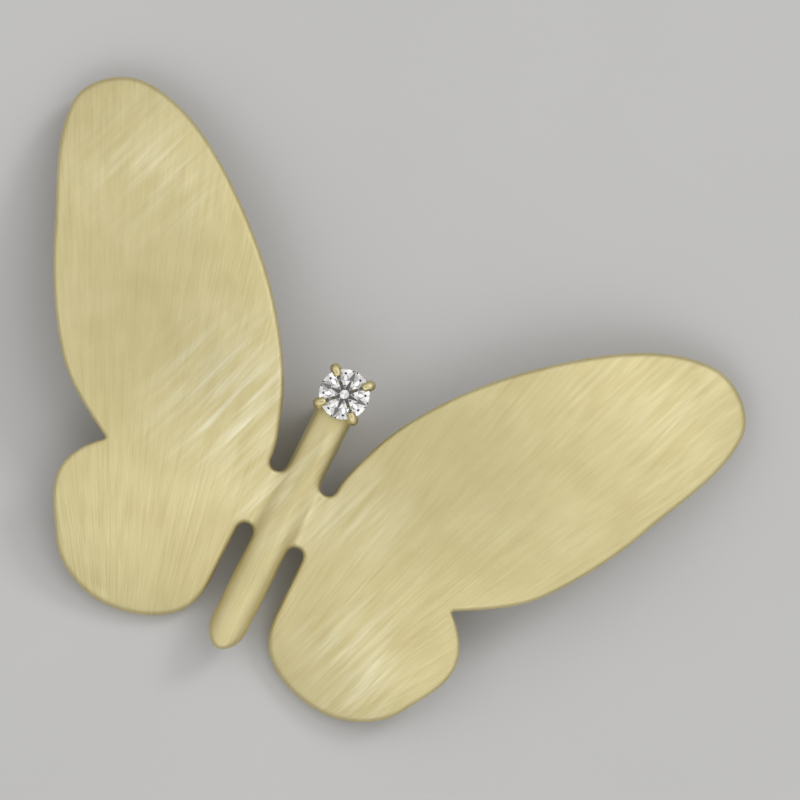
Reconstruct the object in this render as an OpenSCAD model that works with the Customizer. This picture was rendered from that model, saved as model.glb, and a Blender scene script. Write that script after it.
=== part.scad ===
// Butterfly brooch: one pierced and domed sheet of yellow metal with a crowned body, a round
// cut stone held in claws as its head, and a straight pin behind its body.
// It lies on its back. +Z points out of its front and +Y towards its head, the outline is
// centred on the origin, and the lowest points are at Z = 0.

/* [Wings] */
// Width across the tips of the forewings
wing_span = 47; // [45:0.5:50]
// Thorax up to the top of the forewings
forewing_reach = 19.6; // [18.6:0.1:20.6]
// Width across the hindwings
hindwing_span = 27.7; // [26.5:0.1:29]
// Thorax down to the foot of the hindwings
hindwing_reach = 10.9; // [10.2:0.1:11.8]
// Centre line to the notch between a forewing and its hindwing
notch_x = 12; // [11.5:0.1:12.7]
// Thorax down to that notch
notch_y = 1.4; // [1:0.1:1.8]
// Thickness of the sheet
sheet_t = 0.75; // [0.6:0.05:1]
// Radius of the dome of each wing
dome_r = 40; // [36:1:48]
// Centre line to the crown of each dome
dome_x = 11.5; // [10.5:0.1:12.5]
// Thorax up to the crown of each dome
dome_y = 6.9; // [6.2:0.1:7.6]

/* [Body] */
// Width of the body
body_w = 2.4; // [2.2:0.05:2.7]
// Height of the body's crown above the valley between the wings, at the thorax
body_rise = 1.05; // [0.9:0.05:1.3]
// Depth of the body below its crown
body_t = 1.5; // [1.35:0.05:1.8]
// Radius of the body's long arch
body_bend = 85; // [75:1:100]
// Radius of the body's rounded top
body_round = 1.45; // [1.35:0.05:2]
// Thorax down to the end of the tail
tail_reach = 10.1; // [9.4:0.1:10.8]
// Width of the slits beside the body
slit_w = 1.1; // [0.9:0.05:1.25]
// Thorax up to the foot of the upper slits
bridge_top = 1.5; // [1.3:0.05:1.9]
// Thorax down to the top of the lower slits
bridge_foot = 2.2; // [1.9:0.05:2.6]

/* [Head] */
// Diameter of the stone
stone_d = 3.2; // [3:0.1:3.5]
// Thorax up to the centre of the stone
head_reach = 7.7; // [7.4:0.1:8.2]
// Height of the stone's girdle above the crown of the neck
stone_lift = 0.3; // [0.2:0.05:0.6]
// Number of claws
claw_count = 4; // [4:1:6]
// Diameter of a claw
claw_d = 0.7; // [0.6:0.05:0.8]
// Height of a claw's ball centre above the girdle
claw_rise = 0.25; // [0.2:0.05:0.35]
// Reach of a claw's ball centre in over the stone
claw_over = 0.3; // [0.2:0.05:0.35]
// Lean of a claw, outwards as it rises
claw_lean = 10; // [6:1:14]
// Depth of the cup below the girdle
cup_depth = 1.9; // [1.7:0.1:2.1]
// Gap between the stone and its setting
stone_gap = 0.04; // [0.03:0.01:0.08]

/* [Pin] */
// Diameter of the pin's stem
stem_d = 0.8; // [0.7:0.05:0.9]
// Height of the pin's line above the lowest points
pin_z = 1.05; // [1:0.05:1.15]
// Thorax up to the pin's hinge
hinge_reach = 5.6; // [5:0.1:5.9]
// Thorax down to the pin's catch
catch_reach = 7; // [6.4:0.1:7.4]
// Length of the stem past the middle of the catch
stem_over = 1.7; // [1.5:0.1:1.9]
// Length of the stem's point
stem_point = 1.2; // [0.9:0.1:1.4]
// Diameter of the pin's eye
eye_d = 1.9; // [1.7:0.1:2]
// Width of the pin's eye
eye_w = 0.9; // [0.8:0.05:1]
// Diameter of the rivet through the eye
rivet_d = 0.8; // [0.6:0.05:0.9]
// Length of the hinge block along the pin
hinge_l = 2.4; // [2:0.1:2.6]
// Thickness of each of its two cheeks
cheek_t = 0.6; // [0.5:0.05:0.7]
// Length of the catch along the pin
catch_l = 1.6; // [1.2:0.1:2]
// Width of the catch
catch_w = 2.2; // [2:0.1:2.4]
// Gap round the pin in its hinge and its catch
pin_gap = 0.05; // [0.03:0.01:0.08]

/* [Hidden] */
$fn = 48;

// Columns and rows of the forewing's edge, from its slit over the tip to the notch
ACROSS = 0; // share of the way from the slit to the widest point
ALONG = 1; // share of the way from the slit's end to the furthest point
HEADING = 2; // direction of the edge, in degrees from +X
FOREWING = [
    [0.000, 0.000, 90],
    [0.035, 0.170, 73],
    [0.175, 0.470, 53],
    [0.450, 0.795, 38],
    [0.835, 1.000, 0],
    [1.000, 0.825, -90],
    [0.870, 0.380, -113],
    [0.690, 0.010, -128],
];
NOTCH_IN = -151; // heading into the notch
NOTCH_OUT = -38; // heading out of it

// Rows of the hindwing's edge, from the notch round its lobe to the lower slit
HINDWING = [
    [1.000, 0.225, -91],
    [0.855, 0.700, -119],
    [0.470, 1.000, -180],
    [0.070, 0.780, -228],
    [0.000, 0.450, -270],
    [0.000, 0.000, -270],
];

// Rows of the body's right edge, as shares of half its width and of the tail's reach
TAIL = [
    [1.00, 0.30, -90],
    [0.98, 0.72, -93],
    [0.80, 0.93, -122],
    [0.00, 1.00, -180],
];
EDGE_STEPS = 6; // straight steps from one row to the next
SLIT_STEPS = 6; // straight steps round the end of a slit

half_body = body_w / 2;
slit_x = half_body + slit_w / 2;
root_x = half_body + slit_w;
cross_x = -half_body / 4; // each wing runs this far past the centre line, under the body
centre_y = (forewing_reach - hindwing_reach) / 2;

// A row of either wing as [x, y, heading]; sign is 1 above the thorax and -1 below it
function wing_row(row, span, bridge, reach, sign) =
    let (start = bridge + slit_w / 2)
    [
        root_x + row[ACROSS] * (span / 2 - root_x),
        sign * (start + row[ALONG] * (reach - start)),
        row[HEADING]
    ];

// A point of the cubic curve that leaves a and reaches b along their headings
function curve_point(a, b, t) =
    let (
        pull = norm([b.x - a.x, b.y - a.y]),
        leave = pull * (pow(t, 3) - 2 * pow(t, 2) + t),
        reach = pull * (pow(t, 3) - pow(t, 2)),
        blend = 3 * pow(t, 2) - 2 * pow(t, 3)
    )
    [
        a.x + blend * (b.x - a.x) + leave * cos(a[HEADING]) + reach * cos(b[HEADING]),
        a.y + blend * (b.y - a.y) + leave * sin(a[HEADING]) + reach * sin(b[HEADING])
    ];

// The curve through all rows, without the last row's own point
function curve(rows) = [
    for (i = [0 : len(rows) - 2])
        for (k = [0 : EDGE_STEPS - 1])
            curve_point(rows[i], rows[i + 1], k / EDGE_STEPS)
];

// Half circle at the end of a slit, from the angle given
function slit_end(y, from) = [
    for (k = [0 : SLIT_STEPS])
        let (a = from + 180 * k / SLIT_STEPS)
        [slit_x + slit_w / 2 * cos(a), y + slit_w / 2 * sin(a)]
];

upper_slit_y = bridge_top + slit_w / 2;
lower_slit_y = -bridge_foot - slit_w / 2;
fore_rows = [for (row = FOREWING) wing_row(row, wing_span, bridge_top, forewing_reach, 1)];
hind_rows = [for (row = HINDWING) wing_row(row, hindwing_span, bridge_foot, hindwing_reach, -1)];
fore_edge = curve(concat(fore_rows, [[notch_x, -notch_y, NOTCH_IN]]));
hind_edge = curve(concat([[notch_x, -notch_y, NOTCH_OUT]], hind_rows));
wing_edge = concat(
    fore_edge,
    hind_edge,
    slit_end(lower_slit_y, 0),
    [[cross_x, lower_slit_y], [cross_x, upper_slit_y]],
    slit_end(upper_slit_y, 180)
);
tail_edge = curve([for (row = TAIL) [row[ACROSS] * half_body, -row[ALONG] * tail_reach, row[HEADING]]]);

// The domes' centres lie so far down that the underside's lowest corner is at Z = 0
far = max([for (p = wing_edge) norm([p.x - dome_x, p.y - dome_y])]);
under_r = dome_r - sheet_t;
dome_z = -sqrt(pow(under_r, 2) - pow(far, 2));
tall = dome_z + dome_r + 1; // above the sheet everywhere

// Height of the body's arch over its centre, this far below the thorax
function arch_z(reach) = sqrt(pow(body_bend, 2) - pow(reach + dome_y, 2));

// The arch is highest beside the domes' crowns. Its centre lies at bend_z, where it stands above
// the valley between the wings and clears the stem behind it
valley_z = dome_z + sqrt(pow(dome_r, 2) - pow(dome_x, 2) - pow(dome_y, 2));
stem_straight = catch_reach + stem_over - stem_point;
stem_clear = pin_z + stem_d / 2 + pin_gap + body_t;
bend_z = max(valley_z + body_rise - arch_z(0), stem_clear - arch_z(stem_straight));

// Proportions of the stone's cut, as shares of its diameter
TABLE_SHARE = 0.57;
STAR_SHARE = 0.78; // circle of the star facets' points
LOWER_SHARE = 0.26; // circle of the lower facets' points
CROWN_SHARE = 0.147;
GIRDLE_SHARE = 0.04;
PAVILION_SHARE = 0.43;
MAINS = 8; // main facets round the stone
stone_r = stone_d / 2;
table_r = stone_r * TABLE_SHARE;
star_r = stone_r * STAR_SHARE;
lower_r = stone_r * LOWER_SHARE;
half_girdle = stone_d * GIRDLE_SHARE / 2;
table_z = half_girdle + stone_d * CROWN_SHARE;
culet_z = -half_girdle - stone_d * PAVILION_SHARE;
crown_slope = (table_z - half_girdle) / (stone_r - table_r);
pavilion_slope = (-half_girdle - culet_z) / stone_r;
half_main = 180 / MAINS;
star_z = half_girdle + (stone_r - star_r * cos(half_main)) * crown_slope;
lower_z = -half_girdle - (stone_r - lower_r * cos(half_main)) * pavilion_slope;
girdle_z = bend_z + arch_z(-head_reach) + stone_lift;
claw_ring = stone_r + claw_d / 8; // radius of the claws' centres at the girdle
cup_top_r = stone_r - claw_d / 8;
cup_foot_r = cup_top_r - cup_depth * tan(claw_lean);
cup_rim = half_girdle + claw_d / 4; // the cup ends this far below the girdle's middle
cup_bore_r = cup_foot_r / 2;

hinge_w = eye_w + 2 * pin_gap + 2 * cheek_t;
solder_r = body_bend - body_t / 2; // hinge and catch end inside the body's arch

module placed() {
    translate([0, -centre_y, 0])
        children();
}

module both_sides() {
    children();
    mirror([1, 0, 0])
        children();
}

// The ball whose shell a right wing is cut from
module dome_ball(r) {
    translate([dome_x, dome_y, dome_z])
        sphere(r, $fn = 96);
}

module wing() {
    intersection() {
        translate([0, 0, -1])
            linear_extrude(tall + 1)
                polygon(wing_edge);
        difference() {
            dome_ball(dome_r);
            dome_ball(under_r);
        }
    }
}

module body_outline() {
    polygon(concat(
        [[half_body, head_reach - cup_foot_r / 2]],
        tail_edge,
        [[0, -tail_reach]],
        [for (i = [len(tail_edge) - 1 : -1 : 0]) [-tail_edge[i].x, tail_edge[i].y]],
        [[-half_body, head_reach - cup_foot_r / 2]]
    ));
}

// Arched bar over the valley, with a rounded top
module body_bar() {
    intersection() {
        linear_extrude(tall + body_rise)
            body_outline();
        translate([0, dome_y, bend_z])
            rotate([0, 90, 0])
                rotate_extrude($fn = 96)
                    intersection() {
                        translate([body_bend - body_round, 0])
                            circle(body_round);
                        translate([body_bend - body_t, -body_round])
                            square([body_t, 2 * body_round]);
                    }
    }
}

// Room for the stone, with its gap all round and two gaps below the culet. Its upper cone runs
// past the star facets' points, so it clears the stone under every claw
module stone_room() {
    wide = stone_r + stone_gap;
    slope = (star_z - half_girdle) / (stone_r - star_r);
    cylinder(h = 2 * (half_girdle + stone_gap), r = wide, center = true);
    translate([0, 0, half_girdle + stone_gap])
        cylinder(h = table_z, r1 = wide, r2 = wide - table_z / slope);
    translate([0, 0, culet_z - 2 * stone_gap])
        cylinder(h = stone_gap - culet_z - half_girdle, r1 = 0, r2 = wide);
}

// One claw: a leaning leg, a knee at the girdle and an end bent in over the stone's crown
module claw() {
    translate([claw_ring, 0, 0]) {
        rotate([0, claw_lean, 0])
            translate([0, 0, -cup_depth])
                cylinder(h = cup_depth, d = claw_d);
        sphere(d = claw_d);
        rotate([0, -atan2(claw_over, claw_rise), 0])
            cylinder(h = norm([claw_over, claw_rise]), d = claw_d);
        translate([-claw_over, 0, claw_rise])
            sphere(d = claw_d);
    }
}

// Cup and claws, with the girdle's middle at the origin
module setting() {
    translate([0, 0, -cup_depth])
        cylinder(h = cup_depth - cup_rim, r1 = cup_foot_r, r2 = cup_top_r);
    for (i = [0 : claw_count - 1])
        rotate([0, 0, (i + 0.5) * 360 / claw_count])
            claw();
}

// Everything under the middle of the body's arch
module below_arch() {
    translate([0, dome_y, bend_z])
        rotate([0, 90, 0])
            cylinder(h = 2 * body_w, r = solder_r, center = true, $fn = 96);
}

// Block under the neck that holds the pin's eye on a rivet
module hinge() {
    slot_w = eye_w + 2 * pin_gap;
    slot_top = pin_z + eye_d / 2 + pin_gap;
    intersection() {
        below_arch();
        translate([0, hinge_reach, 0])
            difference() {
                translate([-hinge_w / 2, -hinge_l / 2, 0])
                    cube([hinge_w, hinge_l, tall]);
                translate([-slot_w / 2, -hinge_l, -1])
                    cube([slot_w, 2 * hinge_l, slot_top + 1]);
            }
    }
    translate([0, hinge_reach, pin_z])
        rotate([0, 90, 0])
            cylinder(h = slot_w + cheek_t, d = rivet_d, center = true);
}

// Hook under the abdomen, open to the left, that the stem springs into
module catch() {
    room_d = stem_d + 2 * pin_gap;
    intersection() {
        below_arch();
        translate([0, -catch_reach, 0])
            difference() {
                translate([-catch_w / 2, -catch_l / 2, 0])
                    cube([catch_w, catch_l, tall]);
                translate([-catch_w, -catch_l, pin_z - room_d / 2])
                    cube([catch_w, 2 * catch_l, room_d]);
                translate([0, 0, pin_z])
                    rotate([90, 0, 0])
                        cylinder(h = 2 * catch_l, d = room_d, center = true);
            }
    }
}

module butterfly() {
    color([0.80, 0.75, 0.56])
        placed()
            difference() {
                union() {
                    both_sides()
                        wing();
                    body_bar();
                    translate([0, head_reach, girdle_z])
                        setting();
                    hinge();
                    catch();
                }
                translate([0, head_reach, girdle_z]) {
                    stone_room();
                    translate([0, 0, -cup_depth - 1])
                        cylinder(h = cup_depth, r = cup_bore_r);
                }
            }
}

// Points evenly round a circle, the first at the angle given
function ring(count, r, z, turn) = [
    for (i = [0 : count - 1])
        [r * cos(turn + i * 360 / count), r * sin(turn + i * 360 / count), z]
];

// Round brilliant: a table, stars, bezels and upper facets above the girdle, and lower facets
// and mains below it
module head_stone() {
    around = [0 : MAINS - 1];
    star = MAINS; // first point of each ring after the table's
    upper = 2 * MAINS;
    under = 4 * MAINS;
    lower = 6 * MAINS;
    culet = 7 * MAINS;
    color([0.86, 0.87, 0.88])
        placed()
            translate([0, head_reach, girdle_z])
                polyhedron(
                    points = concat(
                        ring(MAINS, table_r, table_z, 0),
                        ring(MAINS, star_r, star_z, half_main),
                        ring(2 * MAINS, stone_r, half_girdle, 0),
                        ring(2 * MAINS, stone_r, -half_girdle, 0),
                        ring(MAINS, lower_r, lower_z, half_main),
                        [[0, 0, culet_z]]
                    ),
                    faces = concat(
                        [[for (k = around) MAINS - 1 - k]],
                        [for (k = around) [k, (k + 1) % MAINS, star + k]],
                        [for (k = around) [k, star + k, upper + 2 * k, star + (k + MAINS - 1) % MAINS]],
                        [for (k = around) [star + k, upper + 2 * k + 1, upper + 2 * k]],
                        [for (k = around) [star + k, upper + 2 * ((k + 1) % MAINS), upper + 2 * k + 1]],
                        [for (m = [0 : 2 * MAINS - 1])
                            let (n = (m + 1) % (2 * MAINS))
                            [upper + m, upper + n, under + n, under + m]],
                        [for (k = around) [lower + k, under + 2 * k, under + 2 * k + 1]],
                        [for (k = around) [lower + k, under + 2 * k + 1, under + 2 * ((k + 1) % MAINS)]],
                        [for (k = around) [culet, lower + (k + MAINS - 1) % MAINS, under + 2 * k, lower + k]]
                    )
                );
}

module pin_stem() {
    straight = hinge_reach + stem_straight;
    color([0.76, 0.70, 0.50])
        placed()
            translate([0, hinge_reach, pin_z])
                difference() {
                    union() {
                        rotate([0, 90, 0])
                            cylinder(h = eye_w, d = eye_d, center = true);
                        rotate([90, 0, 0]) {
                            cylinder(h = straight, d = stem_d);
                            translate([0, 0, straight])
                                cylinder(h = stem_point, d1 = stem_d, d2 = stem_d / 5);
                        }
                    }
                    rotate([0, 90, 0])
                        cylinder(h = 2 * eye_w, d = rivet_d + 2 * pin_gap, center = true);
                }
}

butterfly();
head_stone();
pin_stem();
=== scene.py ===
"""Looks of the butterfly brooch: a brushed gold sheet with a crowned body, a claw-set stone as its
head, and a pin with its hinge and catch behind the body.

The brooch's sizes are in millimetres and repeat the part's own. Points are worked out with the
thorax at the origin, +Y towards the head and +Z out of the front, and new_piece() brings them into
the frame. Floor and lights are placed in metres.
"""

import math

import bmesh
import bpy
import numpy as np
from mathutils import Matrix, Vector, geometry, kdtree


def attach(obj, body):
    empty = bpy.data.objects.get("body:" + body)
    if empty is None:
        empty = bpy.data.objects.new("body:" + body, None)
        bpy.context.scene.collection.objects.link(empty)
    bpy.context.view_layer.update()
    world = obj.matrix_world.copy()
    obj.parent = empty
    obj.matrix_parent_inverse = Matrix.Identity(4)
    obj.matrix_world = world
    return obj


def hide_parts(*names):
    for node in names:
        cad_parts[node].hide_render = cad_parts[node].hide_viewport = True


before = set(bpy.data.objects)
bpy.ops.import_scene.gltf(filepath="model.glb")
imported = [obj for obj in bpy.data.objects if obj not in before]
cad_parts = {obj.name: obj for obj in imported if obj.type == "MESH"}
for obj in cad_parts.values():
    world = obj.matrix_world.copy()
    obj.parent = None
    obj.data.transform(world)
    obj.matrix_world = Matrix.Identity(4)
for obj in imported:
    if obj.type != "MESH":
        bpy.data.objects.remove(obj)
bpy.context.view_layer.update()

MM = 0.001

# Wings
WING_SPAN = 47.0
FOREWING_REACH = 19.6
HINDWING_SPAN = 27.7
HINDWING_REACH = 10.9
NOTCH_X = 12.0
NOTCH_Y = 1.4
SHEET_T = 0.75
DOME_R = 40.0
DOME_X = 11.5
DOME_Y = 6.9

# Body
BODY_W = 2.4
BODY_RISE = 1.05
BODY_T = 1.5
BODY_BEND = 85.0
BODY_ROUND = 1.45
TAIL_REACH = 10.1
SLIT_W = 1.1
BRIDGE_TOP = 1.5
BRIDGE_FOOT = 2.2

# Head
STONE_D = 3.2
HEAD_REACH = 7.7
STONE_LIFT = 0.3
CLAW_COUNT = 4
CLAW_D = 0.7
CLAW_RISE = 0.25
CLAW_LEAN = math.radians(10)
CLAW_OVER = 0.3
CUP_DEPTH = 1.9
STONE_GAP = 0.04
GIRDLE_SHARE = 0.04
CROWN_SHARE = 0.147
PAVILION_SHARE = 0.43
TABLE_SHARE = 0.57
STAR_SHARE = 0.78
MAINS = 8

# Pin
STEM_D = 0.8
PIN_Z = 1.05
HINGE_REACH = 5.6
CATCH_REACH = 7.0
STEM_OVER = 1.7
STEM_POINT = 1.2
EYE_D = 1.9
EYE_W = 0.9
RIVET_D = 0.8
HINGE_L = 2.4
CHEEK_T = 0.6
CATCH_L = 1.6
CATCH_W = 2.2
PIN_GAP = 0.05
RIVET_RISE = 0.08  # height of the rivet's heads

# Edge of a wing: share across, share along and heading in degrees, from the slit to the notch
FOREWING = [
    (0.000, 0.000, 90),
    (0.035, 0.170, 73),
    (0.175, 0.470, 53),
    (0.450, 0.795, 38),
    (0.835, 1.000, 0),
    (1.000, 0.825, -90),
    (0.870, 0.380, -113),
    (0.690, 0.010, -128),
]
NOTCH_IN = -151
NOTCH_OUT = -38

# The same from the notch round the hindwing to the lower slit
HINDWING = [
    (1.000, 0.225, -91),
    (0.855, 0.700, -119),
    (0.470, 1.000, -180),
    (0.070, 0.780, -228),
    (0.000, 0.450, -270),
    (0.000, 0.000, -270),
]

# Body's right edge: share of half its width, share of the tail's reach, and heading
TAIL = [
    (1.00, 0.30, -90),
    (0.98, 0.72, -93),
    (0.80, 0.93, -122),
    (0.00, 1.00, -180),
]

HALF_BODY = BODY_W / 2
SLIT_R = SLIT_W / 2
SLIT_X = HALF_BODY + SLIT_R
ROOT_X = HALF_BODY + SLIT_W
UPPER_SLIT_Y = BRIDGE_TOP + SLIT_R
LOWER_SLIT_Y = -BRIDGE_FOOT - SLIT_R
CENTRE_Y = (FOREWING_REACH - HINDWING_REACH) / 2

STONE_R = STONE_D / 2
HALF_GIRDLE = STONE_D * GIRDLE_SHARE / 2
ROOM_R = STONE_R + STONE_GAP
ROOM_TOP = HALF_GIRDLE + STONE_GAP
ROOM_FOOT = -HALF_GIRDLE - STONE_D * PAVILION_SHARE - 2 * STONE_GAP
STAR_IN = STAR_SHARE * math.cos(math.pi / MAINS)
ROOM_SLOPE = 2 * CROWN_SHARE / (1 - TABLE_SHARE) * (1 - STAR_IN) / (1 - STAR_SHARE)
PAVILION_SLOPE = (-ROOM_TOP - ROOM_FOOT) / ROOM_R
CLAW_RING = STONE_R + CLAW_D / 8
CUP_TOP_R = STONE_R - CLAW_D / 8
CUP_FOOT_R = CUP_TOP_R - CUP_DEPTH * math.tan(CLAW_LEAN)
CUP_RIM = HALF_GIRDLE + CLAW_D / 4
CUP_BORE_R = CUP_FOOT_R / 2

STEM_STRAIGHT = CATCH_REACH + STEM_OVER - STEM_POINT
STEM_CLEAR = PIN_Z + STEM_D / 2 + PIN_GAP + BODY_T

# Finish of the sheet
TOP_ROUND = 0.30  # radius of its worn front edge
TOP_STEPS = 5
FOOT_ROUND = 0.14  # radius of its back edge
FOOT_STEPS = 3
EDGE_STEP = 0.12  # spacing of points along the outline
EDGE_ROUNDS = 3  # how often the outline is evened out, which softens its corners
FRONT_PITCH = 0.13  # spacing of points over the front
BACK_PITCH = 0.32  # and over the back
PITCH_CLEAR = 0.6  # share of their spacing that the points keep from the outline
FILLET = 0.75  # reach of the solder between wings and body
SOLDER_FADE = 1.1  # length over which it dies out beside a slit
NECK_ROUND = 0.45  # radius of the neck's corners in the cup

# Brush strokes in the sheet's front
BRUSH_SEED = 11
BRUSH_CELL = 0.1  # spacing of the grid that they are laid on
BRUSH_MARGIN = 1.0  # the grid runs this far past the outline's box
BRUSH_COUNT = 2600
BRUSH_LENGTH = (1.6, 4.6)  # shortest and longest
BRUSH_WIDTH = (0.22, 0.5)  # narrowest and widest
BRUSH_DEPTH = 0.005  # spread of their heights
BRUSH_MEAN = -0.2  # their mean height as a share of that: more are cut in than stand up
BRUSH_JITTER = math.radians(13)  # spread of their directions
BRUSH_FAN = (1.0, -24.0)  # the strokes of each wing fan out from this point below it

# Finish of the small parts
CUP_SIDES = 64
CUP_ROUND = 0.08  # size of the cup's softened edges
CLAW_SIDES = 24
LEG_STEPS = 16  # steps along a claw's leg
BEND_STEPS = 12  # steps along its bent end
END_STEPS = 7  # steps round its tip
SWELL_STEPS = 12  # steps over which a claw gains its full thickness
CLAW_SWELL = 0.25  # share of its radius that it gains there
CLAW_TAPER = 0.2  # share that it loses over its bent end
CLAW_LIFT = CLAW_D / 10  # its end stands this much higher than the part's
WIRE_SIDES = 32
WIRE_STEPS = 12  # steps along the pin's stem
POINT_STEPS = 8  # steps along its point
POINT_CURVE = 0.7  # below 1 the point is full-bodied, and at 1 it is a plain cone
POINT_END_R = 0.02  # radius of its end
EYE_SIDES = 48
EYE_ROUND = 0.15  # size of the eye's softened edges
STEM_START = 0.1  # how far outside the eye's bore the stem starts
BLOCK_BEVEL = 0.12  # size of the softened edges of hinge and catch
BLOCK_SHARP = math.radians(40)  # edges that turn by more are softened

# Head of the rivet: radius as a share of the rivet's diameter, and share of the head's height
RIVET_HEAD = [
    (0.42, 1.0),
    (0.62, 0.5),
    (0.66, 0.0),
    (0.50, 0.0),
]

# Gentle unevenness of the hand-bent sheet: x, y, reach and height of each swell or hollow
SWELLS = [
    (-5.6, 5.2, 3.4, 0.10),
    (-13.5, 9.5, 4.2, -0.07),
    (-17.5, 15.5, 3.0, 0.06),
    (-9.0, -5.0, 3.6, 0.05),
    (8.6, -5.4, 3.2, 0.10),
    (7.5, 4.6, 4.0, -0.06),
    (13.0, 6.5, 3.8, 0.05),
    (19.0, 13.5, 3.4, 0.09),
]


def smooth_step(share):
    """0 below 0, 1 above 1, and an even rise between them."""
    share = np.clip(share, 0, 1)
    return share * share * (3 - 2 * share)


def smooth_max(a, b, reach):
    """The greater of two heights, rounded off where they come within reach of each other."""
    near = np.maximum(reach - np.abs(a - b), 0) / reach
    return np.maximum(a, b) + near * near * reach / 4


# Outline

def wing_row(row, span, bridge, reach, sign):
    """A row of either wing as (x, y, heading); sign is 1 above the thorax and -1 below it."""
    across, along, heading = row
    start = bridge + SLIT_R
    return (ROOT_X + across * (span / 2 - ROOT_X), sign * (start + along * (reach - start)), heading)


def curve(rows, steps=40):
    """Points of the smooth curve through all rows, without the last row's own point."""
    points = []
    for a, b in zip(rows, rows[1:]):
        start, end = np.array(a[:2]), np.array(b[:2])
        pull = np.linalg.norm(end - start)
        leave = pull * np.array([math.cos(math.radians(a[2])), math.sin(math.radians(a[2]))])
        reach = pull * np.array([math.cos(math.radians(b[2])), math.sin(math.radians(b[2]))])
        for t in np.arange(steps) / steps:
            blend = 3 * t**2 - 2 * t**3
            points.append(
                start + blend * (end - start) + (t**3 - 2 * t**2 + t) * leave + (t**3 - t**2) * reach
            )
    return points


def arc(x, y, radius, start, turn, steps=24):
    """Points round an arc, from one angle through a turn, both in degrees."""
    angles = np.radians(start + turn * np.arange(steps + 1) / steps)
    return list(np.stack([x + radius * np.cos(angles), y + radius * np.sin(angles)], 1))


def even_loop(points, step):
    """A closed line again, with points evenly spaced and its corners slightly softened."""
    points = np.array(points)
    ends = np.vstack([points, points[:1]])
    along = np.concatenate([[0], np.cumsum(np.linalg.norm(np.diff(ends, axis=0), axis=1))])
    places = np.linspace(0, along[-1], round(along[-1] / step), endpoint=False)
    loop = np.stack([np.interp(places, along, ends[:, k]) for k in (0, 1)], 1)
    for _ in range(EDGE_ROUNDS):
        loop = (np.roll(loop, 1, axis=0) + 2 * loop + np.roll(loop, -1, axis=0)) / 4
    return loop


def outline():
    """The loop round wings and body, clockwise from the middle of the neck's end."""
    neck_y = HEAD_REACH - CUP_FOOT_R / 2
    fore = [wing_row(row, WING_SPAN, BRIDGE_TOP, FOREWING_REACH, 1) for row in FOREWING]
    hind = [wing_row(row, HINDWING_SPAN, BRIDGE_FOOT, HINDWING_REACH, -1) for row in HINDWING]
    tail = [(share * HALF_BODY, -along * TAIL_REACH, heading) for share, along, heading in TAIL]
    right = [
        *arc(HALF_BODY - NECK_ROUND, neck_y - NECK_ROUND, NECK_ROUND, 90, -90),
        *arc(SLIT_X, UPPER_SLIT_Y, SLIT_R, 180, 180),
        *curve([*fore, (NOTCH_X, -NOTCH_Y, NOTCH_IN)]),
        *curve([(NOTCH_X, -NOTCH_Y, NOTCH_OUT), *hind]),
        *arc(SLIT_X, LOWER_SLIT_Y, SLIT_R, 0, 180),
        *curve(tail),
    ]
    left = [point * (-1, 1) for point in reversed(right)]
    return even_loop([*right, (0, -TAIL_REACH), *left], EDGE_STEP)


# Heights of the sheet

def wing_height(x, y, radius):
    """Height over each point of the two domes of that radius."""
    return DOME_Z + np.sqrt(radius**2 - (np.abs(x) - DOME_X) ** 2 - (y - DOME_Y) ** 2)


def arch_height(y, radius):
    """Height over each point of a long arch of that radius along the body."""
    return BEND_Z + np.sqrt(radius**2 - (y - DOME_Y) ** 2)


def body_height(x, y):
    """Height of the body's crown over each point, falling away straight past its sides."""
    flank = np.minimum(np.abs(x), HALF_BODY)
    drop = BODY_ROUND - np.sqrt(BODY_ROUND**2 - flank**2)
    slope = HALF_BODY / math.sqrt(BODY_ROUND**2 - HALF_BODY**2)
    return arch_height(y, BODY_BEND - drop) - slope * (np.abs(x) - flank)


def bridge_share(x, y):
    """1 on the wings and where they are soldered to the body, falling to 0 on neck and tail."""
    past = np.maximum(y - BRIDGE_TOP, -BRIDGE_FOOT - y)
    return np.where(np.abs(x) < SLIT_X, 1 - smooth_step(past / SOLDER_FADE), 1)


def swell(x, y):
    """The sheet's unevenness over each point."""
    total = np.zeros_like(x)
    for place_x, place_y, reach, height in SWELLS:
        away = ((x - place_x) ** 2 + (y - place_y) ** 2) / reach**2
        total += height * np.exp(-away)
    return total


def room_floor(x, y):
    """Height of the lower cone of the stone's room over each point."""
    away = np.hypot(x, y - HEAD_REACH)
    return GIRDLE_Z + ROOM_FOOT + away * PAVILION_SLOPE


def front_height(x, y):
    """The front of the sheet: domed wings, the crowned body and the solder between them."""
    body = body_height(x, y)
    joined = smooth_max(wing_height(x, y, DOME_R) + swell(x, y), body, FILLET)
    height = body + bridge_share(x, y) * (joined - body)
    under_stone = room_floor(x, y) - STONE_GAP
    return np.where(np.hypot(x, y - HEAD_REACH) < ROOM_R, np.minimum(height, under_stone), height)


def back_height(x, y):
    """The back of the sheet."""
    body = arch_height(y, BODY_BEND - BODY_T)
    wing = wing_height(x, y, DOME_R - SHEET_T) + swell(x, y)
    return body + bridge_share(x, y) * (wing - body)


EDGE = outline()
WING_EDGE = EDGE[np.abs(EDGE[:, 0]) > SLIT_X]
FAR = np.hypot(np.abs(WING_EDGE[:, 0]) - DOME_X, WING_EDGE[:, 1] - DOME_Y).max()
DOME_Z = -math.sqrt((DOME_R - SHEET_T) ** 2 - FAR**2)
VALLEY_Z = float(wing_height(0, 0, DOME_R))
BEND_Z = max(
    VALLEY_Z + BODY_RISE - math.sqrt(BODY_BEND**2 - DOME_Y**2),
    STEM_CLEAR - math.sqrt(BODY_BEND**2 - (STEM_STRAIGHT + DOME_Y) ** 2),
)
GIRDLE_Z = float(arch_height(HEAD_REACH, BODY_BEND)) + STONE_LIFT


# Brush strokes

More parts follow.
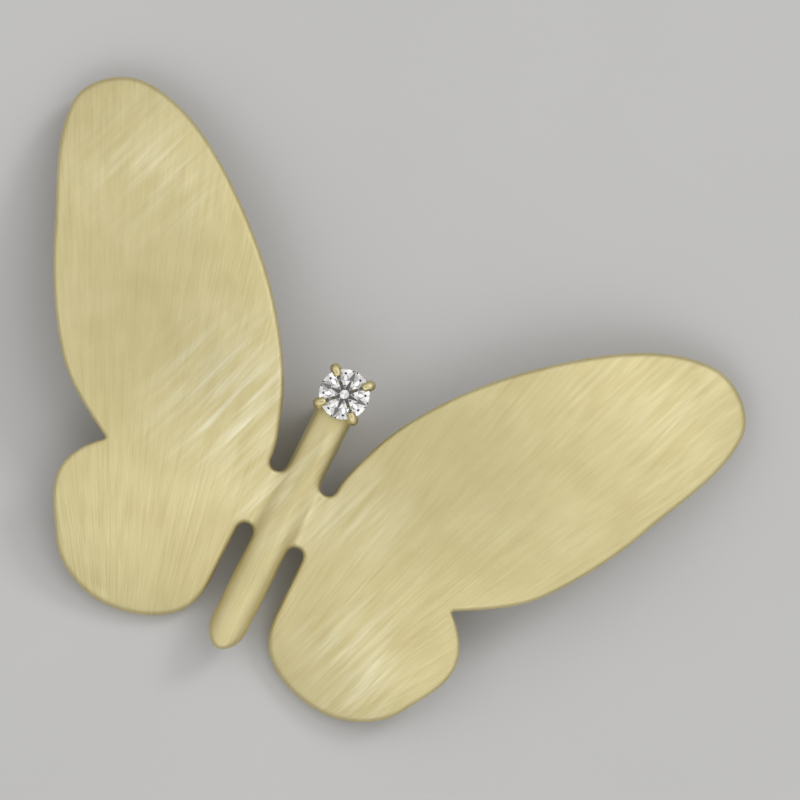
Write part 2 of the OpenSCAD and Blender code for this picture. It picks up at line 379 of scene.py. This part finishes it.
class Brushwork:
    """Grid of heights left by many straight strokes of a coarse brush, each wing's in a fan."""

    def __init__(self):
        draw = np.random.default_rng(BRUSH_SEED)
        self.left = -WING_SPAN / 2 - BRUSH_MARGIN
        self.foot = -HINDWING_REACH - BRUSH_MARGIN
        top = FOREWING_REACH + BRUSH_MARGIN
        columns = round((WING_SPAN + 2 * BRUSH_MARGIN) / BRUSH_CELL)
        rows = round((FOREWING_REACH + HINDWING_REACH + 2 * BRUSH_MARGIN) / BRUSH_CELL)
        self.grid = np.zeros((rows, columns))
        for _ in range(BRUSH_COUNT):
            x = draw.uniform(self.left, -self.left)
            y = draw.uniform(self.foot, top)
            aim = math.atan2(y - BRUSH_FAN[1], abs(x) - BRUSH_FAN[0]) + draw.normal(0, BRUSH_JITTER)
            half = draw.uniform(*BRUSH_LENGTH) / 2
            width = draw.uniform(*BRUSH_WIDTH)
            depth = BRUSH_DEPTH * draw.normal(BRUSH_MEAN, 1)
            side = math.copysign(1, x)
            self.stroke((x, y), (side * math.cos(aim), math.sin(aim)), half, width, depth)

    def stroke(self, middle, aim, half, width, depth):
        """Adds one stroke that runs both ways from its middle."""
        reach = half + 2 * width
        column, row = ((middle[0] - self.left) / BRUSH_CELL, (middle[1] - self.foot) / BRUSH_CELL)
        cells = reach / BRUSH_CELL
        left, foot = max(0, int(column - cells)), max(0, int(row - cells))
        patch = self.grid[foot:int(row + cells) + 1, left:int(column + cells) + 1]
        dx = (left + np.arange(patch.shape[1])[None, :] - column) * BRUSH_CELL
        dy = (foot + np.arange(patch.shape[0])[:, None] - row) * BRUSH_CELL
        along = dx * aim[0] + dy * aim[1]
        across = dy * aim[0] - dx * aim[1]
        ends = smooth_step((half - np.abs(along)) / (half / 2))
        patch += depth * ends * np.exp(-((across / width) ** 2))

    def height(self, x, y):
        """Height at each point, between the four grid values round it."""
        column = (x - self.left) / BRUSH_CELL
        row = (y - self.foot) / BRUSH_CELL
        i, j = row.astype(int), column.astype(int)
        v, u = row - i, column - j
        lower = self.grid[i, j] * (1 - u) + self.grid[i, j + 1] * u
        upper = self.grid[i + 1, j] * (1 - u) + self.grid[i + 1, j + 1] * u
        return lower * (1 - v) + upper * v


# Mesh helpers

def new_piece(name, points, faces, material, slot, nodes):
    """A smooth piece from points in millimetres round the thorax, riding in place of CAD nodes."""
    mesh = bpy.data.meshes.new(name)
    placed = (np.asarray(points) - (0, CENTRE_Y, 0)) * MM
    mesh.from_pydata(placed.tolist(), [], faces)
    work = bmesh.new()
    work.from_mesh(mesh)
    bmesh.ops.recalc_face_normals(work, faces=work.faces)
    work.to_mesh(mesh)
    work.free()
    mesh.shade_smooth()
    mesh.materials.append(material)
    piece = bpy.data.objects.new(name, mesh)
    bpy.context.scene.collection.objects.link(piece)
    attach(piece, "root")
    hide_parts(*nodes)
    return piece


def joined(*shells):
    """Several (points, faces) as one."""
    points, faces = [], []
    for shell_points, shell_faces in shells:
        start = len(points)
        points.extend(shell_points)
        faces.extend([tuple(start + k for k in face) for face in shell_faces])
    return points, faces


def strips(count, rings, closed=False):
    """Faces between rings of count points each, which follow one another."""
    faces = []
    for ring in range(rings if closed else rings - 1):
        lower, upper = ring * count, (ring + 1) % rings * count
        for k in range(count):
            n = (k + 1) % count
            faces.append((lower + k, lower + n, upper + n, upper + k))
    return faces


def inside_points(loop, pitch):
    """Points of a triangular grid inside a closed loop, and how far each is from its points."""
    near = kdtree.KDTree(len(loop))
    for k, (x, y) in enumerate(loop):
        near.insert((x, y, 0), k)
    near.balance()
    ahead = np.roll(loop, -1, axis=0)
    found = []
    rise = pitch * math.sqrt(3) / 2
    rows = np.arange(loop[:, 1].min(), loop[:, 1].max(), rise)
    for row, y in enumerate(rows):
        crosses = (loop[:, 1] > y) != (ahead[:, 1] > y)
        a, b = loop[crosses], ahead[crosses]
        edges = np.sort(a[:, 0] + (y - a[:, 1]) / (b[:, 1] - a[:, 1]) * (b[:, 0] - a[:, 0]))
        shift = pitch / 2 * (row % 2)
        for low, high in zip(edges[::2], edges[1::2]):
            first = math.ceil((low - shift) / pitch)
            last = math.floor((high - shift) / pitch)
            for column in range(first, last + 1):
                x = shift + column * pitch
                away = near.find((x, y, 0))[2]
                if away > PITCH_CLEAR * pitch:
                    found.append((x, y, away))
    return np.array(found)


def filled(loop, pitch):
    """(points inside a loop, their distances from it, triangles over loop and points)."""
    inside = inside_points(loop, pitch)
    corners = [Vector(point) for point in np.vstack([loop, inside[:, :2]])]
    edges = [(k, (k + 1) % len(loop)) for k in range(len(loop))]
    inside_only = 1
    tolerance = 1e-9
    made = geometry.delaunay_2d_cdt(corners, edges, [], inside_only, tolerance)
    origin = [sources[0] for sources in made[3]]
    triangles = [tuple(origin[k] for k in face) for face in made[2]]
    return inside[:, :2], inside[:, 2], triangles


def lathe(profile, sides, closed=True):
    """Shell of a profile of (radius, height) turned about Z."""
    points = []
    for radius, height in profile:
        for k in range(sides):
            turn = 2 * math.pi * k / sides
            points.append((radius * math.cos(turn), radius * math.sin(turn), height))
    return points, strips(sides, len(profile), closed)


def turned_solid(profile, sides):
    """The same for a profile whose two ends are closed by flat caps."""
    points, faces = lathe(profile, sides, closed=False)
    faces.append(tuple(range(sides)))
    faces.append(tuple(range(len(points) - sides, len(points))))
    return points, faces


# Wings and body

def build_sheet(material):
    """Wings and body as one closed shell with rounded edges and a brushed front."""
    ahead = np.roll(EDGE, -1, axis=0) - np.roll(EDGE, 1, axis=0)
    ahead /= np.linalg.norm(ahead, axis=1)[:, None]
    inward = np.stack([ahead[:, 1], -ahead[:, 0]], 1)
    rings = []
    for step in range(FOOT_STEPS + 1):
        angle = math.pi / 2 * (1 - step / FOOT_STEPS)
        plan = EDGE + FOOT_ROUND * (1 - math.cos(angle)) * inward
        rings.append((plan, back_height(*plan.T) + FOOT_ROUND * (1 - math.sin(angle))))
    for step in range(TOP_STEPS + 1):
        angle = math.pi / 2 * step / TOP_STEPS
        plan = EDGE + TOP_ROUND * (1 - math.cos(angle)) * inward
        rings.append((plan, front_height(*plan.T) - TOP_ROUND * (1 - math.sin(angle))))
    count = len(EDGE)
    back, _, back_faces = filled(rings[0][0], BACK_PITCH)
    front, away, front_faces = filled(rings[-1][0], FRONT_PITCH)
    strokes = Brushwork().height(*front.T) * smooth_step(away / (2 * TOP_ROUND))
    points = [np.column_stack([plan, height]) for plan, height in rings]
    points.append(np.column_stack([back, back_height(*back.T)]))
    points.append(np.column_stack([front, front_height(*front.T) + strokes]))
    back_start = count * len(rings) - count
    front_start = count * len(rings) + len(back) - count
    last_ring = count * (len(rings) - 1)
    faces = strips(count, len(rings))
    faces += [tuple(k if k < count else k + back_start for k in face) for face in back_faces]
    for face in front_faces:
        faces.append(tuple(k + (last_ring if k < count else front_start) for k in face))
    points = np.vstack(points)
    return new_piece("wings_and_body", points, faces, material, "brushed_gold", ["butterfly"])


# Setting of the stone

def clear_of_stone(point):
    """The point moved out of the stone's room: up off its crown, and outwards below that."""
    x, y, z = point
    away = math.hypot(x, y)
    if z > ROOM_TOP:
        depth = (ROOM_R - away) * ROOM_SLOPE - (z - ROOM_TOP)
        if depth <= 0:
            return point
        rise = depth / (1 + ROOM_SLOPE**2)
        out = 1 + rise * ROOM_SLOPE / away
        return (x * out, y * out, z + rise)
    room = min(ROOM_R, (z - ROOM_FOOT) / PAVILION_SLOPE)
    if away >= room:
        return point
    return (x * room / away, y * room / away, z)


def claw(turn):
    """One claw, leaning out of the cup and then bent in over the stone to a round end."""
    radius = CLAW_D / 2
    foot = Vector((CLAW_RING - CUP_DEPTH * math.tan(CLAW_LEAN), 0, -CUP_DEPTH))
    knee = Vector((CLAW_RING, 0, 0))
    tip = Vector((CLAW_RING - CLAW_OVER, 0, CLAW_RISE + CLAW_LIFT))
    leaving = knee + (knee - foot).normalized() * CLAW_RISE
    reaching = tip + Vector((CLAW_RISE, 0, 0))
    middles = [foot.lerp(knee, step / LEG_STEPS) for step in range(LEG_STEPS)]
    middles += geometry.interpolate_bezier(knee, leaving, reaching, tip, BEND_STEPS)
    last = len(middles) - 1
    rings = []
    for step, middle in enumerate(middles):
        aim = (middles[min(step + 1, last)] - middles[max(step - 1, 0)]).normalized()
        swelling = 1 - CLAW_SWELL + CLAW_SWELL * smooth_step(step / SWELL_STEPS)
        taper = CLAW_TAPER * smooth_step((step - LEG_STEPS) / (BEND_STEPS - 1))
        rings.append((middle, aim, radius * float(swelling - taper)))
    middle, aim, end = rings[-1]
    for step in range(1, END_STEPS):
        angle = math.pi / 2 * step / END_STEPS
        rings.append((middle + aim * end * math.sin(angle), aim, end * math.cos(angle)))
    points = []
    across = Vector((0, 1, 0))
    place = Matrix.Rotation(turn, 4, "Z")
    for middle, aim, half in rings:
        for k in range(CLAW_SIDES):
            angle = 2 * math.pi * k / CLAW_SIDES
            point = middle + half * (math.cos(angle) * across.cross(aim) + math.sin(angle) * across)
            points.append(clear_of_stone(tuple(place @ point)))
    ends = [tuple(range(CLAW_SIDES)), tuple(range(len(points) - CLAW_SIDES, len(points)))]
    return points, strips(CLAW_SIDES, len(rings)) + ends


def build_setting(material):
    """Cup and claws as one piece."""
    soft = CUP_ROUND
    rim = (-CUP_RIM - ROOM_FOOT) / PAVILION_SLOPE
    profile = [
        (CUP_BORE_R + soft, -CUP_DEPTH),
        (CUP_FOOT_R - soft, -CUP_DEPTH),
        (CUP_FOOT_R, -CUP_DEPTH + soft),
        (CUP_TOP_R, -CUP_RIM - soft / 2),
        ((CUP_TOP_R + rim) / 2, -CUP_RIM),
        (rim, -CUP_RIM - soft / 4),
        (CUP_BORE_R, ROOM_FOOT + CUP_BORE_R * PAVILION_SLOPE),
        (CUP_BORE_R, -CUP_DEPTH + soft),
    ]
    claws = [claw(2 * math.pi * (k + 0.5) / CLAW_COUNT) for k in range(CLAW_COUNT)]
    points, faces = joined(lathe(profile, CUP_SIDES), *claws)
    points = [(x, y + HEAD_REACH, z + GIRDLE_Z) for x, y, z in points]
    return new_piece("head_setting", points, faces, material, "brushed_gold", ["butterfly"])


# Pin, hinge and catch

def soldered_block(outline_xz, y_middle, length):
    """Block of an outline in the XZ plane, whose points without a height run up into the body."""
    work = bmesh.new()
    ends = []
    for y in (y_middle - length / 2, y_middle + length / 2):
        top = float(arch_height(y, BODY_BEND - BODY_T / 2))
        ends.append([work.verts.new((x, y, top if z is None else z)) for x, z in outline_xz])
    work.faces.new(ends[0])
    work.faces.new(ends[1][::-1])
    for k in range(len(outline_xz)):
        n = (k + 1) % len(outline_xz)
        work.faces.new((ends[0][n], ends[0][k], ends[1][k], ends[1][n]))
    bmesh.ops.recalc_face_normals(work, faces=work.faces)
    sharp = [edge for edge in work.edges if edge.calc_face_angle() > BLOCK_SHARP]
    bmesh.ops.bevel(work, geom=sharp, offset=BLOCK_BEVEL, segments=3, affect="EDGES", profile=0.5)
    work.verts.index_update()
    points = [tuple(vert.co) for vert in work.verts]
    faces = [tuple(vert.index for vert in face.verts) for face in work.faces]
    work.free()
    return points, faces


def turned(shell, axis, place):
    """A shell moved to a place, with its Z axis laid along X or, for Y, down along Y."""
    points, faces = shell
    turn = Matrix.Rotation(math.pi / 2, 4, "Y" if axis == "X" else "X")
    matrix = Matrix.Translation(place) @ turn
    return [tuple(matrix @ Vector(point)) for point in points], faces


def build_hinge(material):
    """Block with two cheeks, and the rivet through them."""
    slot_half = EYE_W / 2 + PIN_GAP
    half = slot_half + CHEEK_T
    slot_top = PIN_Z + EYE_D / 2 + PIN_GAP
    block = soldered_block(
        [
            (-half, 0), (-slot_half, 0), (-slot_half, slot_top), (slot_half, slot_top),
            (slot_half, 0), (half, 0), (half, None), (-half, None),
        ],
        HINGE_REACH, HINGE_L,
    )
    end = [(share * RIVET_D, half + rise * RIVET_RISE) for share, rise in RIVET_HEAD]
    profile = [(radius, -out) for radius, out in end]
    profile += [(radius, out) for radius, out in reversed(end)]
    rivet = turned(turned_solid(profile, WIRE_SIDES), "X", (0, HINGE_REACH, PIN_Z))
    return new_piece("pin_hinge", *joined(block, rivet), material, "brushed_gold", ["butterfly"])


def build_catch(material):
    """Hook round the stem, open to the left."""
    room_r = STEM_D / 2 + PIN_GAP
    half = CATCH_W / 2
    throat = [(x, PIN_Z + z) for x, z in arc(0, 0, room_r, -90, 180, steps=16)]
    block = soldered_block(
        [
            (-half, 0), (half, 0), (half, None), (-half, None),
            (-half, PIN_Z + room_r), *reversed(throat), (-half, PIN_Z - room_r),
        ],
        -CATCH_REACH, CATCH_L,
    )
    return new_piece("pin_catch", *block, material, "brushed_gold", ["butterfly"])


def build_pin(material):
    """Round wire with a long point, and the flattened eye at its other end."""
    radius = STEM_D / 2
    shoulder = HINGE_REACH + STEM_STRAIGHT
    bore, rim, half = RIVET_D / 2 + PIN_GAP, EYE_D / 2, EYE_W / 2
    start = bore + STEM_START
    steps = range(WIRE_STEPS + 1)
    profile = [(radius, start + (shoulder - start) * step / WIRE_STEPS) for step in steps]
    for step in range(1, POINT_STEPS + 1):
        share = step / POINT_STEPS
        narrowed = radius * (1 - share) ** POINT_CURVE + POINT_END_R
        profile.append((narrowed, shoulder + share * (STEM_POINT - POINT_END_R)))
    soft = EYE_ROUND
    corner = soft * 0.3  # how far in the middle of the softened edge lies
    outer = [(rim - soft, half), (rim - corner, half - corner), (rim, half - soft)]
    inner = [(bore, half - soft / 2), (bore + soft / 2, half)]
    ring = [(r, -z) for r, z in outer] + [(r, z) for r, z in reversed(outer)]
    ring += [(r, z) for r, z in reversed(inner)] + [(r, -z) for r, z in inner]
    middle = (0, HINGE_REACH, PIN_Z)
    wire = turned(turned_solid(profile, WIRE_SIDES), "Y", middle)
    eye = turned(lathe(ring, EYE_SIDES), "X", middle)
    return new_piece("pin_wire", *joined(wire, eye), material, "pin_gold", ["pin_stem"])


# Materials

class Shading:
    """A node material in the making, with its coordinates in millimetres."""

    def __init__(self, name):
        self.material = bpy.data.materials.new(name)
        self.material.use_nodes = True
        self.tree = self.material.node_tree
        self.shader = self.tree.nodes["Principled BSDF"]
        place = self.tree.nodes.new("ShaderNodeTexCoord").outputs["Object"]
        inputs = {0: place, "Scale": 1 / MM}
        self.place = self.add("ShaderNodeVectorMath", inputs, operation="SCALE").outputs[0]

    def add(self, kind, inputs, **settings):
        """A new node; inputs pair a socket with a value or with another node's output."""
        node = self.tree.nodes.new(kind)
        for name, value in settings.items():
            setattr(node, name, value)
        for socket, value in inputs.items():
            if isinstance(value, bpy.types.NodeSocket):
                self.tree.links.new(value, node.inputs[socket])
            else:
                node.inputs[socket].default_value = value
        return node

    def maths(self, operation, a, b=0.0):
        """The result of one sum."""
        return self.add("ShaderNodeMath", {0: a, 1: b}, operation=operation).outputs[0]

    def vector(self, x, y, z):
        """A vector of three values."""
        return self.add("ShaderNodeCombineXYZ", {0: x, 1: y, 2: z}).outputs[0]

    def stretched(self, x, y, z):
        """The place with its axes stretched."""
        inputs = {0: self.place, 1: (x, y, z)}
        return self.add("ShaderNodeVectorMath", inputs, operation="MULTIPLY").outputs[0]

    def noise(self, place, scale=1.0, detail=3.0):
        """Noise from 0 to 1."""
        inputs = {"Vector": place, "Scale": scale, "Detail": detail, "Roughness": 0.6}
        return self.add("ShaderNodeTexNoise", inputs).outputs["Fac"]

    def spread(self, value, low, high):
        """Noise mapped so that its usual range of 0.3 to 0.7 runs from low to high."""
        inputs = {"Value": value, "From Min": 0.3, "From Max": 0.7, "To Min": low, "To Max": high}
        return self.add("ShaderNodeMapRange", inputs).outputs[0]

    def blend(self, factor, a, b):
        """A value between two; any of the three may be another node's output."""
        return self.add("ShaderNodeMix", {0: factor, 2: a, 3: b}).outputs[0]

    def mix(self, factor, a, b):
        """A colour between two, each a colour or another node's output."""
        node = self.tree.nodes.new("ShaderNodeMix")
        node.data_type = "RGBA"
        sockets = {socket.identifier: socket for socket in node.inputs}
        self.tree.links.new(factor, sockets["Factor_Float"])
        for name, value in (("A_Color", a), ("B_Color", b)):
            if isinstance(value, bpy.types.NodeSocket):
                self.tree.links.new(value, sockets[name])
            else:
                sockets[name].default_value = (*value, 1)
        return next(socket for socket in node.outputs if socket.identifier == "Result_Color")

    def finish(self, colour, roughness, height=None, bump=0.0):
        """Connects colour, roughness and a bump whose height is in millimetres."""
        self.tree.links.new(colour, self.shader.inputs["Base Color"])
        self.tree.links.new(roughness, self.shader.inputs["Roughness"])
        if height is not None:
            inputs = {"Height": height, "Strength": 1.0, "Distance": bump * MM}
            normal = self.add("ShaderNodeBump", inputs).outputs[0]
            self.tree.links.new(normal, self.shader.inputs["Normal"])
        return self.material


# Darkest and lightest tone of each material
GOLD = ((0.65, 0.565, 0.29), (0.79, 0.705, 0.41))
STONE = ((0.80, 0.79, 0.77), (0.88, 0.87, 0.855))
FLOOR = ((0.49, 0.485, 0.482), (0.51, 0.505, 0.502))

# Pale gold painted on as highlight
GOLD_PAINTED_HIGHLIGHT = (0.89, 0.84, 0.60)
HIGHLIGHT_POLISH = 0.1  # how much less rough the gold is under the painted highlights
BRUSHED_BUMP = 0.028
FAN_SCALE = 30.0  # the fan's noise takes a radian for this many millimetres
SIDES_APART = 40.0  # millimetres that keep the noise of the two sides apart
WORKED_SPREAD = 0.06  # how far the roughness of the small parts varies either way
WORKED_BUMP = 0.008
STONE_IOR = 2.42

# Painted highlights, pale marks laid where light catches the sheet: x, y, reach and strength of each
# patch
PAINTED_HIGHLIGHTS = [
    (-6.0, 4.5, 7.5, 1.0),
    (-17.0, 15.0, 7.0, 0.5),
    (0.0, 1.0, 6.0, 0.9),
    (19.5, 15.0, 6.0, 0.35),
    (8.0, -7.0, 6.0, 0.8),
    (4.5, 2.0, 4.5, 0.6),
]
HIGHLIGHT_AIM = math.radians(72)  # the painted highlight marks run this way, anticlockwise from +X


def brushed_gold():
    """Satin gold with fine strokes that fan out over each wing, and pale painted highlights across
    them.
    """
    shading = Shading("brushed_gold")
    apart = shading.add("ShaderNodeSeparateXYZ", {0: shading.place}).outputs
    across = shading.maths("SUBTRACT", shading.maths("ABSOLUTE", apart[0]), BRUSH_FAN[0])
    up = shading.maths("SUBTRACT", apart[1], BRUSH_FAN[1] - CENTRE_Y)
    side = shading.maths("MULTIPLY", shading.maths("SIGN", apart[0]), SIDES_APART)
    squares = [shading.maths("MULTIPLY", value, value) for value in (across, up)]
    away = shading.maths("SQRT", shading.maths("ADD", *squares))
    swing = shading.maths("MULTIPLY", shading.maths("ARCTAN2", across, up), FAN_SCALE)
    flat = shading.stretched(1, 1, 0)
    inputs = {"Vector": flat, "Angle": -HIGHLIGHT_AIM}
    turned_place = shading.add("ShaderNodeVectorRotate", inputs, rotation_type="Z_AXIS").outputs[0]

    def strokes(along, over, detail):
        """Noise drawn out along the fan, in features for each millimetre along and over it."""
        place_along = shading.maths("MULTIPLY", away, along)
        place_over = shading.maths("MULTIPLY", swing, over)
        return shading.noise(shading.vector(place_along, place_over, side), detail=detail)

    def aimed_noise(along, over, detail):
        """The same, drawn out the way the painted highlight marks run."""
        inputs = {0: turned_place, 1: (along, over, 0)}
        drawn_out = shading.add("ShaderNodeVectorMath", inputs, operation="MULTIPLY").outputs[0]
        return shading.noise(drawn_out, detail=detail)

    # Masks of the painted highlights, strongest at each middle
    highlight_patches = 0.0
    for x, y, reach, strength in PAINTED_HIGHLIGHTS:
        inputs = {0: flat, 1: (x, y - CENTRE_Y, 0)}
        gap = shading.add("ShaderNodeVectorMath", inputs, operation="DISTANCE").outputs["Value"]
        inputs = {"Value": gap, "From Min": reach, "From Max": 0.0, "To Min": 0.0, "To Max": strength}
        patch = shading.add("ShaderNodeMapRange", inputs, interpolation_type="SMOOTHSTEP").outputs[0]
        highlight_patches = shading.maths("MAXIMUM", highlight_patches, patch)
    # Pale streaks inside them, painted on as highlights
    marks = shading.spread(aimed_noise(along=0.15, over=1.6, detail=2.0), -0.5, 1.3)
    lines = shading.spread(aimed_noise(along=0.2, over=6.0, detail=3.0), 0.35, 1.15)
    painted_highlight = shading.maths("MULTIPLY", shading.maths("MULTIPLY", marks, highlight_patches), lines)
    fine_strokes = strokes(along=0.22, over=5.0, detail=3.0)
    # Under the painted highlights the fine strokes turn to run along the highlight marks
    fine = shading.blend(highlight_patches, fine_strokes, aimed_noise(along=0.22, over=5.0, detail=3.0))
    broad = strokes(along=0.3, over=1.8, detail=3.0)
    cloud = shading.noise(shading.place, scale=0.3, detail=1.0)
    tone = shading.spread(shading.blend(0.4, shading.blend(0.4, broad, fine), cloud), 0.0, 1.0)
    # Painted highlights laid over the gold's own tone; the gold is also a little smoother under them
    colour = shading.mix(painted_highlight, shading.mix(tone, *GOLD), GOLD_PAINTED_HIGHLIGHT)
    smoother = shading.maths("MULTIPLY", painted_highlight, HIGHLIGHT_POLISH)
    rough = shading.maths("SUBTRACT", shading.spread(fine, 0.62, 0.5), smoother)
    shading.shader.inputs["Metallic"].default_value = 1.0
    height = shading.maths("ADD", fine, shading.maths("MULTIPLY", broad, 0.6))
    return shading.finish(colour, rough, height, bump=BRUSHED_BUMP)


def worked_gold(name, roughness, scratch):
    """Filed gold of the small parts, worn by rubbing; scratch stretches its marks along X, Y and Z.
    """
    shading = Shading(name)
    marks = shading.noise(shading.stretched(*scratch), detail=4.0)
    shading.shader.inputs["Metallic"].default_value = 1.0
    rough = shading.spread(marks, roughness + WORKED_SPREAD, roughness - WORKED_SPREAD)
    colour = shading.mix(shading.spread(marks, 0.0, 1.0), *GOLD)
    return shading.finish(colour, rough, marks, bump=WORKED_BUMP)


def clear_stone():
    """Colourless cut stone."""
    shading = Shading("clear_stone")
    shading.shader.inputs["Transmission Weight"].default_value = 1.0
    shading.shader.inputs["IOR"].default_value = STONE_IOR
    haze = shading.noise(shading.place, scale=1.4)
    return shading.finish(shading.mix(haze, *STONE), shading.spread(haze, 0.0, 0.03))


def floor_material():
    """Plain pale matt surface."""
    shading = Shading("pale_floor")
    cloud = shading.noise(shading.place, scale=0.03)
    colour = shading.mix(shading.spread(cloud, 0.0, 1.0), *FLOOR)
    return shading.finish(colour, shading.spread(cloud, 0.88, 0.95))


# Stage

LEAN = math.radians(26.7)  # the body leans this far clockwise in the picture
VIEW_WIDTH = 50.0  # what the picture is wide at the brooch
LENS = 200.0
SENSOR = 36.0
FLOOR_HALF = 3.0  # metres from the floor's middle to its sides

# Surroundings: share of the way from the horizon straight up, or straight down, and brightness
SKY = [(0.0, 0.05), (0.85, 1.27), (0.97, 0.15)]


def look_from(obj, place, target, up=Vector((0, 0, 1))):
    """Puts an object at a place in metres, looking at the target with up towards its top."""
    back = (Vector(place) - Vector(target)).normalized()
    right = up.cross(back).normalized()
    turn = Matrix((right, back.cross(right), back)).transposed()
    obj.matrix_world = Matrix.Translation(place) @ turn.to_4x4()


def build_camera():
    """Straight above the brooch, turned so that its body leans as in the picture."""
    right = np.array([math.cos(LEAN), math.sin(LEAN)])
    up = np.array([-math.sin(LEAN), math.cos(LEAN)])
    middle = np.zeros(2)
    for axis in (right, up):
        reach = EDGE @ axis
        middle += (reach.min() + reach.max()) / 2 * axis
    target = Vector((middle[0], middle[1] - CENTRE_Y, VALLEY_Z)) * MM
    camera = bpy.data.objects.new("camera", bpy.data.cameras.new("camera"))
    bpy.context.scene.collection.objects.link(camera)
    camera.data.lens = LENS
    camera.data.sensor_width = SENSOR
    camera.data.clip_start = 0.01
    camera.data.clip_end = 10
    height = VIEW_WIDTH * MM * LENS / SENSOR
    look_from(camera, target + Vector((0, 0, height)), target, Vector((*up, 0)))
    bpy.context.scene.camera = camera


def soft_light(name, azimuth, elevation, distance, size, power):
    """Square softbox; its direction is in degrees round the brooch and above the floor."""
    a, e = math.radians(azimuth), math.radians(elevation)
    light = bpy.data.objects.new(name, bpy.data.lights.new(name, "AREA"))
    bpy.context.scene.collection.objects.link(light)
    light.data.shape = "SQUARE"
    light.data.size = size
    light.data.energy = power
    place = Vector((math.cos(a) * math.cos(e), math.sin(a) * math.cos(e), math.sin(e))) * distance
    look_from(light, place, (0, 0, 0))
    return light


def build_stage():
    """Floor, surroundings and lights."""
    mesh = bpy.data.meshes.new("floor")
    half = FLOOR_HALF
    corners = [(-half, -half, 0), (half, -half, 0), (half, half, 0), (-half, half, 0)]
    mesh.from_pydata(corners, [], [(0, 1, 2, 3)])
    mesh.materials.append(floor_material())
    floor = bpy.data.objects.new("floor", mesh)
    bpy.context.scene.collection.objects.link(floor)
    world = bpy.data.worlds.new("studio")
    world.use_nodes = True
    tree = world.node_tree
    ray = tree.nodes.new("ShaderNodeTexCoord").outputs["Generated"]
    apart = tree.nodes.new("ShaderNodeSeparateXYZ")
    rise = tree.nodes.new("ShaderNodeMath")
    rise.operation = "ABSOLUTE"
    ramp = tree.nodes.new("ShaderNodeValToRGB")
    ramp.color_ramp.elements.new(SKY[1][0])
    for element, (height, brightness) in zip(ramp.color_ramp.elements, SKY):
        element.position = height
        element.color = (brightness, brightness, brightness, 1)
    tree.links.new(ray, apart.inputs[0])
    tree.links.new(apart.outputs["Z"], rise.inputs[0])
    tree.links.new(rise.outputs[0], ramp.inputs[0])
    tree.links.new(ramp.outputs[0], tree.nodes["Background"].inputs["Color"])
    bpy.context.scene.world = world
    soft_light("key", azimuth=60, elevation=52, distance=0.6, size=0.5, power=0.42)
    soft_light("fill", azimuth=-70, elevation=52, distance=0.7, size=0.5, power=0.35)
    shade = soft_light("shade", azimuth=65, elevation=33, distance=1.2, size=0.3, power=3.6)
    shade.visible_glossy = False
    bpy.context.scene.view_settings.view_transform = "Standard"


sheet_gold = brushed_gold()
small_gold = worked_gold("filed_gold", roughness=0.42, scratch=(3.0, 3.0, 1.5))
wire_gold = worked_gold("drawn_gold", roughness=0.36, scratch=(6.0, 0.4, 6.0))
build_sheet(sheet_gold)
build_setting(small_gold)
build_hinge(small_gold)
build_catch(small_gold)
build_pin(wire_gold)
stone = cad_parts["head_stone"]
stone.data.materials.clear()
stone.data.materials.append(clear_stone())
build_camera()
build_stage()
